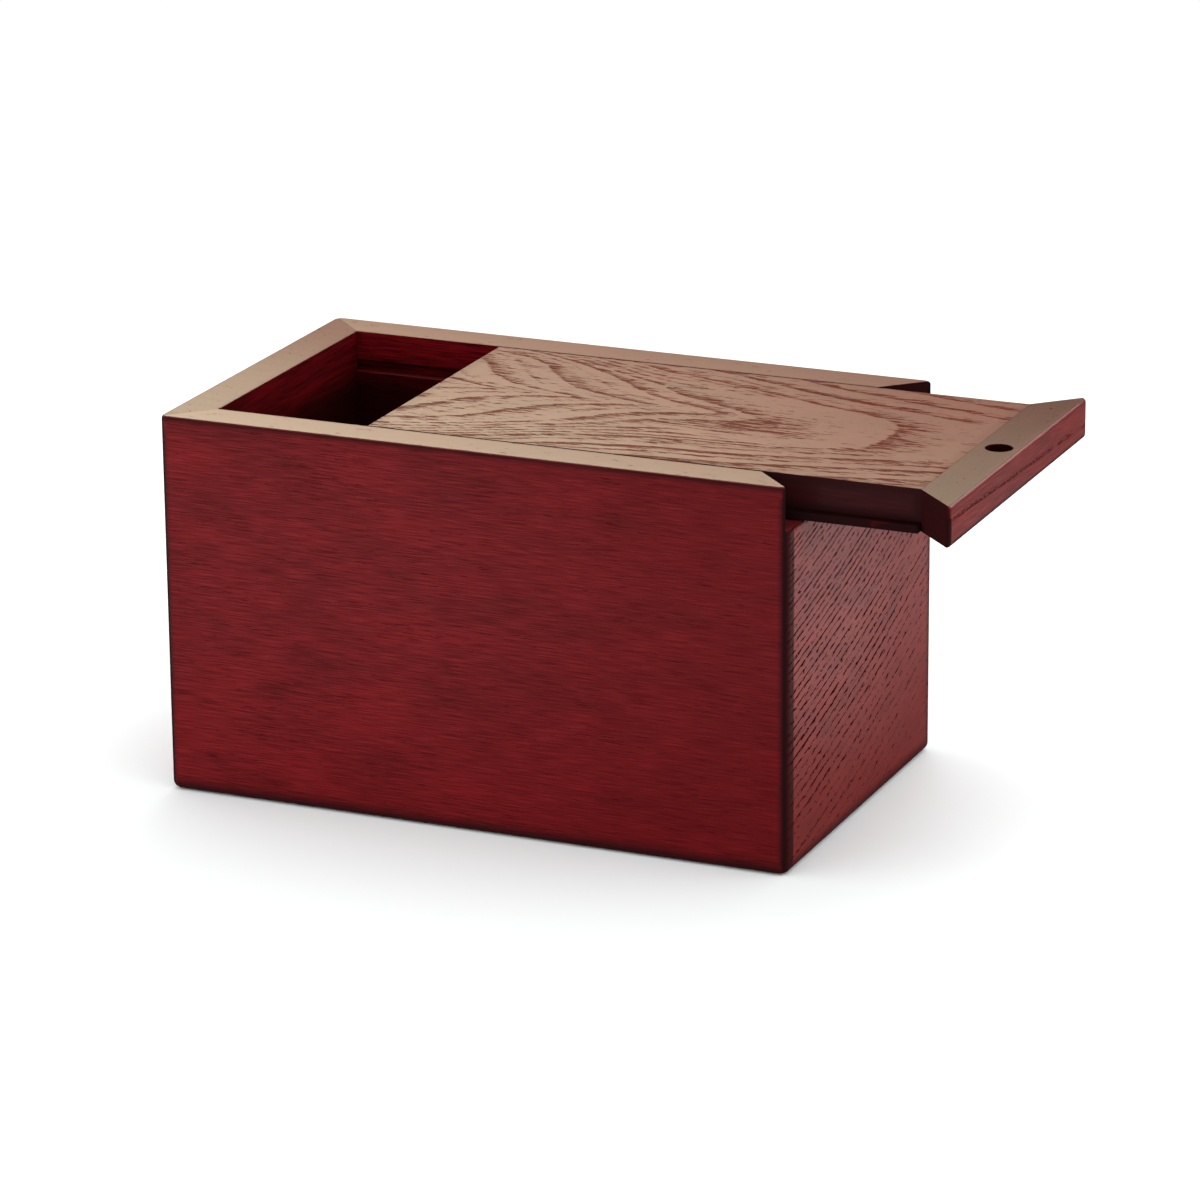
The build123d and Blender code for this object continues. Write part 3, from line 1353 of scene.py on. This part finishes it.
@dataclass
class MitredBoard(Piece):
    """A board of the frame, mitred at both ends and rounded along its outer edges."""

    side: Side = Side.FRONT
    joinery: Joinery = field(default_factory=Joinery)
    corner_radius: float = 2.7 * MM
    foot_radius: float = 2.2 * MM
    rim_radius: float = 1.0 * MM
    inner_ease: float = 0.3 * MM
    groove_level: Optional[float] = None
    rebated: bool = True
    splines: Sequence[str] = ()
    mitre_gap: float = 0.0
    arc_steps: int = 6
    ease_steps: int = 4

    def face(self) -> BoardFace:
        """What the finish needs to know of this board."""
        return replace(super().face(), cut_axis=self.side.along, inner_axis=-self.side.outward)

    def profile(self) -> list[Point]:
        """The board's outline across its length.

        Returns:
            Depth from the outer face and height above the board's foot, clockwise.
        """
        wall = self.joinery.wall
        arris = self.joinery.arris
        height = self.high.z - self.low.z
        foot = self.foot_radius
        rim = self.rim_radius
        ease = self.inner_ease
        points = arc((foot, foot), foot, DOWN, OUT, self.arc_steps)
        points += arc((rim, height - rim), rim, OUT, TOP, self.arc_steps)
        points += arc((wall - ease, height - ease), ease, TOP, IN, self.ease_steps)
        if self.groove_level is not None:
            floor = self.groove_level - self.low.z
            roof = floor + self.joinery.groove_height
            back = wall - self.joinery.groove_depth
            points += [(wall, roof + arris), (wall - arris, roof), (back, roof), (back, floor)]
            points += [(wall - arris, floor), (wall, floor - arris)]
        if self.rebated:
            step = self.joinery.rebate
            points += [(wall, step), (wall - step, step), (wall - step, arris), (wall - step - arris, 0.0)]
        else:
            points += [(wall, arris), (wall - arris, 0.0)]
        return points

    def tip(self, depth: float, share: float, back: float = 0.0) -> Point:
        """A point of the board's rounded tip.

        Args:
            depth: Depth of the profile's point from the outer face.
            share: How far round the tip it lies, from 0 on the outer face to 1 at the mitre.
            back: How far short of the mitre the tip stays.

        Returns:
            Distance from the board's middle, and depth.
        """
        reach = self.side.reach
        radius = self.corner_radius
        short = self.mitre_gap + back
        room = radius - depth
        if room > short:
            turn = share * (MITRE - math.asin(short / room * math.sin(MITRE)))
            return reach - radius + room * math.sin(turn), radius - room * math.cos(turn)
        return reach - depth - short, depth

    def stations(self) -> list[list[Size]]:
        """The board's plan, profile point by profile point, from the outer face to the mitre at one tip.

        Returns:
            For each profile point, its distances, depths and heights along the tip.
        """
        seam = self.joinery.seam
        shares = [step / self.arc_steps for step in range(self.arc_steps + 1)]
        rows = []
        for outer, inner in zip(self.profile(), inset(self.profile(), seam)):
            row = [(*self.tip(outer[0], share, seam), outer[1]) for share in shares]
            row.append((*self.tip(inner[0], 1.0), inner[1]))
            rows.append(row)
        return rows

    def mesh(self) -> bpy.types.Object:
        """Sweeps the profile from mitre to mitre.

        Returns:
            The board.
        """
        along = self.side.along
        outward = self.side.outward
        outer = self.middle + outward * abs(outward.dot(self.half))
        outer.z = self.low.z
        mesh = bmesh.new()
        rows = []
        for tip in self.stations():
            path = [(-distance, depth, height) for distance, depth, height in reversed(tip)] + tip
            row = []
            for distance, depth, height in path:
                row.append(mesh.verts.new(outer + along * distance - outward * depth + UP * height))
            rows.append(row)
        for lower, upper in zip(rows, rows[1:] + rows[:1]):
            for step in range(len(lower) - 1):
                mesh.faces.new((lower[step], lower[step + 1], upper[step + 1], upper[step]))
        mesh.faces.new([row[0] for row in rows])
        mesh.faces.new([row[-1] for row in rows])
        board = make_piece(f"{self.name}_board", mesh)
        for spline in self.splines:
            self.cut_slot(board, spline)
        return board

    def cut_slot(self, board: bpy.types.Object, spline: str) -> None:
        """Cuts the board's half of the slot for a spline.

        Args:
            board: The board.
            spline: Name of the spline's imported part.
        """
        low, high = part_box(spline)
        gap = self.joinery.glue_gap
        middle = (low + high) / 2
        middle.z += gap / 2
        turn = MITRE if middle.x * middle.y < 0 else -MITRE
        place = Matrix.Translation(middle) @ Matrix.Rotation(turn, 4, "Z")
        width = self.joinery.spline_width + 2 * gap
        thickness = self.joinery.spline_thickness + 2 * gap
        cut_away(board, block("slot", place, Vector((width, thickness, high.z - low.z + gap))))


@dataclass
class EndCap(MitredBoard):
    """The strip of rim that the lid carries, with its pull hole and dowel holes."""

    hole_radius: float = 3.5 * MM
    hole_flare: float = 0.35 * MM
    hole_flats: int = 48
    flare_steps: int = 5
    dowels: str = LID_DOWELS

    def face(self) -> BoardFace:
        """What the finish needs to know of this strip."""
        return replace(super().face(), bore_radius=self.hole_radius * PER_METRE)

    def mesh(self) -> bpy.types.Object:
        """Sweeps the strip and drills its holes.

        Returns:
            The strip.
        """
        cap = super().mesh()
        radius = self.hole_radius
        flare = self.hole_flare
        height = self.high.z - self.low.z
        outline = [(radius + 2 * flare, -flare)]
        outline += arc((radius + flare, flare), flare, DOWN, OUT, self.flare_steps)
        outline += arc((radius + flare, height - flare), flare, OUT, TOP, self.flare_steps)
        outline += [(radius + 2 * flare, height + flare)]
        place = Matrix.Translation((self.middle.x, self.middle.y, self.low.z))
        cut_away(cap, turned("pull_hole", outline, place, self.hole_flats))
        self.joinery.drill_dowels(cap, self.dowels)
        return cap


@dataclass
class Slab(Piece):
    """A flat board with eased edges and, where it is wanted, rounded corners in plan."""

    top_ease: float = 0.4 * MM
    joinery: Joinery = field(default_factory=Joinery)
    corner: float = 0.0
    joint_end: bool = False
    dowels: Optional[str] = None
    sides_cut: bool = False
    corner_steps: int = 6
    ease_steps: int = 4
    arris_steps: int = 2

    def face(self) -> BoardFace:
        """What the finish needs to know of this board."""
        return replace(super().face(), cut_axis=CROSSWISE if self.sides_cut else None)

    def mesh(self) -> bpy.types.Object:
        """Shapes the board from a block.

        Returns:
            The board.
        """
        arris = self.joinery.arris
        mesh = bmesh.new()
        place = Matrix.Translation(self.middle) @ Matrix.Diagonal((*(self.half * 2), 1.0))
        bmesh.ops.create_cube(mesh, size=1.0, matrix=place)
        if self.corner:
            upright = [edge for edge in mesh.edges if self.is_upright(edge)]
            self.round_off(mesh, upright, self.corner, self.corner_steps)
        rim = [edge for edge in mesh.edges if min(end.co.z for end in edge.verts) > self.high.z - arris]
        if self.joint_end:
            rim = [edge for edge in rim if min(end.co.x for end in edge.verts) < self.high.x - arris]
        self.round_off(mesh, rim, self.top_ease, self.ease_steps)
        foot = [edge for edge in mesh.edges if max(end.co.z for end in edge.verts) < self.low.z + arris]
        self.round_off(mesh, foot, arris, self.arris_steps)
        slab = make_piece(f"{self.name}_board", mesh)
        if self.dowels:
            self.joinery.drill_dowels(slab, self.dowels)
        return slab

    def is_upright(self, edge: bmesh.types.BMEdge) -> bool:
        """Whether an edge climbs from the board's underside to its top."""
        return abs(edge.verts[0].co.z - edge.verts[1].co.z) > self.joinery.arris

    @staticmethod
    def round_off(
        mesh: bmesh.types.BMesh, edges: list[bmesh.types.BMEdge], radius: float, steps: int
    ) -> None:
        """Rounds edges of a mesh.

        Args:
            mesh: The mesh.
            edges: The edges to round.
            radius: How far the rounding reaches.
            steps: Number of flats across it.
        """
        bmesh.ops.bevel(
            mesh, geom=edges, offset=radius, segments=steps, profile=ROUND_BEVEL, affect="EDGES"
        )


@dataclass
class Assembly:
    """Pieces that move together."""

    body: str

    def pieces(self) -> list[Piece]:
        """The pieces, in order."""
        raise NotImplementedError

    def build(self) -> None:
        """Builds and dresses every piece."""
        for piece in self.pieces():
            piece.build()


@dataclass
class Box(Assembly):
    """The box: four mitred walls and a bottom."""

    body: str = "box"
    bottom_ease: float = 0.15 * MM

    def pieces(self) -> list[Piece]:
        """The walls and the bottom.

        Returns:
            The pieces, in order.
        """
        groove_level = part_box("open_end_wall")[1].z
        pieces = []
        for name, side in (("front", Side.FRONT), ("back", Side.BACK)):
            pieces.append(
                MitredBoard(
                    f"{name}_wall", self.body, "long_wall_wood", LONG_WALL_FINISH, Lie.LENGTHWISE_UPRIGHT,
                    side, groove_level=groove_level, splines=(f"{name}_closed_spline", f"{name}_open_spline"),
                )
            )
        for name, side in (("closed", Side.CLOSED_END), ("open", Side.OPEN_END)):
            pieces.append(
                MitredBoard(
                    f"{name}_end_wall", self.body, "end_wall_wood", END_WALL_FINISH, Lie.CROSSWISE_UPRIGHT,
                    side, splines=(f"front_{name}_spline", f"back_{name}_spline"),
                )
            )
        pieces.append(
            Slab(
                "bottom_panel", self.body, "bottom_wood", BOTTOM_FINISH, Lie.LENGTHWISE_FLAT, self.bottom_ease
            )
        )
        return pieces


@dataclass
class Lid(Assembly):
    """The lid: a panel on a runner board, with an end cap."""

    body: str = "lid"
    panel_ease: float = 0.15 * MM
    runner_ease: float = 0.25 * MM
    runner_corner: float = 0.8 * MM
    cap_corner_radius: float = 1.9 * MM
    cap_foot_radius: float = 1.3 * MM
    cap_rim_radius: float = 1.2 * MM
    cap_inner_ease: float = 0.08 * MM
    cap_mitre_gap: float = 0.25 * MM

    def pieces(self) -> list[Piece]:
        """The lid's boards.

        Returns:
            The pieces, in order.
        """
        flat = Lie.LENGTHWISE_FLAT
        return [
            Slab(
                "lid_panel", self.body, "lid_wood", LID_FINISH, flat, self.panel_ease,
                joint_end=True, dowels=LID_DOWELS, sides_cut=True,
            ),
            Slab(
                "lid_runner_board", self.body, "runner_wood", RUNNER_FINISH, flat, self.runner_ease,
                corner=self.runner_corner,
            ),
            EndCap(
                "lid_end_cap", self.body, "cap_wood", CAP_FINISH, Lie.CROSSWISE_UPRIGHT, Side.OPEN_END,
                corner_radius=self.cap_corner_radius,
                foot_radius=self.cap_foot_radius,
                rim_radius=self.cap_rim_radius,
                inner_ease=self.cap_inner_ease,
                rebated=False,
                mitre_gap=self.cap_mitre_gap,
            ),
        ]


@dataclass
class HiddenPieces:
    """The splines in the mitres and the lid's dowels."""

    finish: BareWood = BareWood()

    def build(self) -> None:
        """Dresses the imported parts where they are."""
        for name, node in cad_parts.items():
            if name.endswith("_spline") or name == LID_DOWELS:
                lie = Lie.LENGTHWISE_FLAT if name == LID_DOWELS else Lie.LENGTHWISE_UPRIGHT
                self.finish.dress(node, lie)
                LOG.info("%s: bare wood", name)


@dataclass(frozen=True)
class Softbox:
    """A large soft lamp that points at the box."""

    name: str
    place: Vector
    size: Point
    radiance: float
    aim: Vector = Vector((0.0, 0.0, 0.06))

    def build(self) -> None:
        """Sets the lamp up."""
        data = bpy.data.lights.new(self.name, "AREA")
        data.shape = "RECTANGLE"
        data.size, data.size_y = self.size
        data.energy = self.radiance * math.pi * self.size[0] * self.size[1]
        lamp = bpy.data.objects.new(self.name, data)
        lamp.location = self.place
        lamp.rotation_mode = "QUATERNION"
        lamp.rotation_quaternion = (self.aim - self.place).to_track_quat("-Z", "Y")
        lamp.visible_camera = False
        lamp.visible_glossy = False
        bpy.context.scene.collection.objects.link(lamp)
        LOG.info("lamp %s", self.name)


@dataclass(frozen=True)
class GlarePanel:
    """A reflector behind the box that the lacquer mirrors; climb and drift brighten it up and to the left."""

    name: str
    left: float
    right: float
    foot: float
    colour: Colour
    level: float
    behind: float = 0.6
    head: float = 0.6
    level_height: float = 0.28
    level_left: float = -0.13
    climb: float = 0.0
    drift: float = 0.0
    dimmest: float = 0.0
    brightest: float = 14.0

    def build(self) -> None:
        """Sets the reflector up."""
        mesh = bmesh.new()
        lower = [(self.left, self.behind, self.foot), (self.right, self.behind, self.foot)]
        upper = [(self.right, self.behind, self.head), (self.left, self.behind, self.head)]
        mesh.faces.new([mesh.verts.new(corner) for corner in lower + upper])
        panel = make_piece(self.name, mesh)
        graph = MaterialGraph(self.name)
        position = graph.axes(graph.coordinates.outputs["Object"])
        strength = (position["Z"] - self.level_height) * self.climb + self.level
        strength = strength + (self.level_left - position["X"]) * self.drift
        strength = strength.greatest(self.dimmest).least(self.brightest)
        glow = graph.tree.nodes.new("ShaderNodeEmission")
        glow.inputs["Color"].default_value = (*self.colour, 1.0)
        output = graph.tree.nodes.new("ShaderNodeOutputMaterial")
        graph.tree.links.new(strength.socket, glow.inputs["Strength"])
        graph.tree.links.new(glow.outputs[0], output.inputs["Surface"])
        graph.cover(panel)
        panel.visible_camera = False
        panel.visible_diffuse = False
        LOG.info("reflector %s", self.name)


@dataclass
class Studio:
    """White floor and surroundings, soft lamps and the camera."""

    floor_half: float = 6.0
    floor_cells: int = 4
    floor_drop: float = 0.2 * MM
    floor_colour: Colour = (0.925, 0.955, 0.955)
    shadow_room: Point = (0.34, 0.62)
    ambient: float = 1.12
    eye: Vector = Vector((0.58064, -1.30469, 0.51291))
    azimuth: float = math.radians(23.4670)
    elevation: float = math.radians(18.0238)
    roll: float = math.radians(-0.4719)
    lens: float = 165.654
    sensor: float = 36.0
    nearest: float = 0.05
    farthest: float = 50.0
    lamps: Sequence[Softbox] = (
        Softbox("overhead", place=Vector((0.0, 0.05, 1.1)), size=(1.0, 1.0), radiance=0.2),
        Softbox("back", place=Vector((0.0, 1.0, 0.9)), size=(1.0, 1.0), radiance=2.4),
        Softbox("right", place=Vector((1.0, 0.1, 0.9)), size=(1.0, 1.0), radiance=0.8),
        Softbox("front_left", place=Vector((-0.5, -0.6, 0.4)), size=(0.5, 0.4), radiance=1.0),
    )
    panels: Sequence[GlarePanel] = (
        GlarePanel(
            "warm_reflector", left=-0.75, right=0.2, foot=0.05, colour=(1.0, 0.98, 0.68), level=-0.1,
            climb=54.0, drift=7.0,
        ),
        GlarePanel(
            "edge_reflector", left=0.26, right=0.6, foot=0.2, colour=(1.0, 0.95, 0.92), level=14.0
        ),
    )

    def build(self) -> None:
        """Sets up the whole studio."""
        self.surround()
        self.floor()
        for light in (*self.lamps, *self.panels):
            light.build()
        self.camera()
        bpy.context.scene.view_settings.view_transform = "Standard"

    def surround(self) -> None:
        """White surroundings to the eye and in reflections, and an even light from all round."""
        world = bpy.data.worlds.new("white_surround")
        world.use_nodes = True
        tree = world.node_tree
        tree.nodes.clear()
        path = tree.nodes.new("ShaderNodeLightPath")
        seen = Signal(tree, path.outputs["Is Camera Ray"])
        for ray in ("Is Glossy Ray", "Is Transmission Ray"):
            seen = seen.greatest(Signal(tree, path.outputs[ray]))
        strength = seen * (1.0 - self.ambient) + self.ambient
        background = tree.nodes.new("ShaderNodeBackground")
        output = tree.nodes.new("ShaderNodeOutputWorld")
        tree.links.new(strength.socket, background.inputs["Strength"])
        background.inputs["Color"].default_value = (1.0, 1.0, 1.0, 1.0)
        tree.links.new(background.outputs[0], output.inputs["Surface"])
        bpy.context.scene.world = world

    def floor(self) -> None:
        """A white floor that takes the shadow near the box and stays white further out."""
        mesh = bmesh.new()
        cells = self.floor_cells
        bmesh.ops.create_grid(mesh, x_segments=cells, y_segments=cells, size=self.floor_half)
        floor = make_piece("floor", mesh)
        floor.location.z = -self.floor_drop
        graph = MaterialGraph("white_floor")
        tree = graph.tree
        length = tree.nodes.new("ShaderNodeVectorMath")
        length.operation = "LENGTH"
        tree.links.new(graph.coordinates.outputs["Object"], length.inputs[0])
        far = Signal(tree, length.outputs["Value"]).ramp(*self.shadow_room)
        diffuse = tree.nodes.new("ShaderNodeBsdfDiffuse")
        diffuse.inputs["Color"].default_value = (*self.floor_colour, 1.0)
        glow = tree.nodes.new("ShaderNodeEmission")
        blend = tree.nodes.new("ShaderNodeMixShader")
        output = tree.nodes.new("ShaderNodeOutputMaterial")
        tree.links.new(far.socket, blend.inputs["Fac"])
        tree.links.new(diffuse.outputs[0], blend.inputs[1])
        tree.links.new(glow.outputs[0], blend.inputs[2])
        tree.links.new(blend.outputs[0], output.inputs["Surface"])
        graph.cover(floor)

    def camera(self) -> None:
        """Sets the camera up."""
        level = math.cos(self.elevation)
        right = Vector((math.cos(self.azimuth), math.sin(self.azimuth), 0.0))
        ahead = Vector((-math.sin(self.azimuth), math.cos(self.azimuth), 0.0))
        back = UP * math.sin(self.elevation) - ahead * level
        up = back.cross(right)
        turned_right = right * math.cos(self.roll) + up * math.sin(self.roll)
        turned_up = up * math.cos(self.roll) - right * math.sin(self.roll)
        data = bpy.data.cameras.new("camera")
        data.lens = self.lens
        data.sensor_width = self.sensor
        data.clip_start = self.nearest
        data.clip_end = self.farthest
        camera = bpy.data.objects.new("camera", data)
        turn = Matrix((turned_right, turned_up, back)).transposed().to_4x4()
        camera.matrix_world = Matrix.Translation(self.eye) @ turn
        bpy.context.scene.collection.objects.link(camera)
        bpy.context.scene.camera = camera


def main() -> None:
    """Builds the box, its lid and the studio."""
    logging.basicConfig(level=logging.INFO, format="%(message)s")
    for assembly in (Box(), Lid(), HiddenPieces(), Studio()):
        assembly.build()


if __name__ == "__main__":
    main()
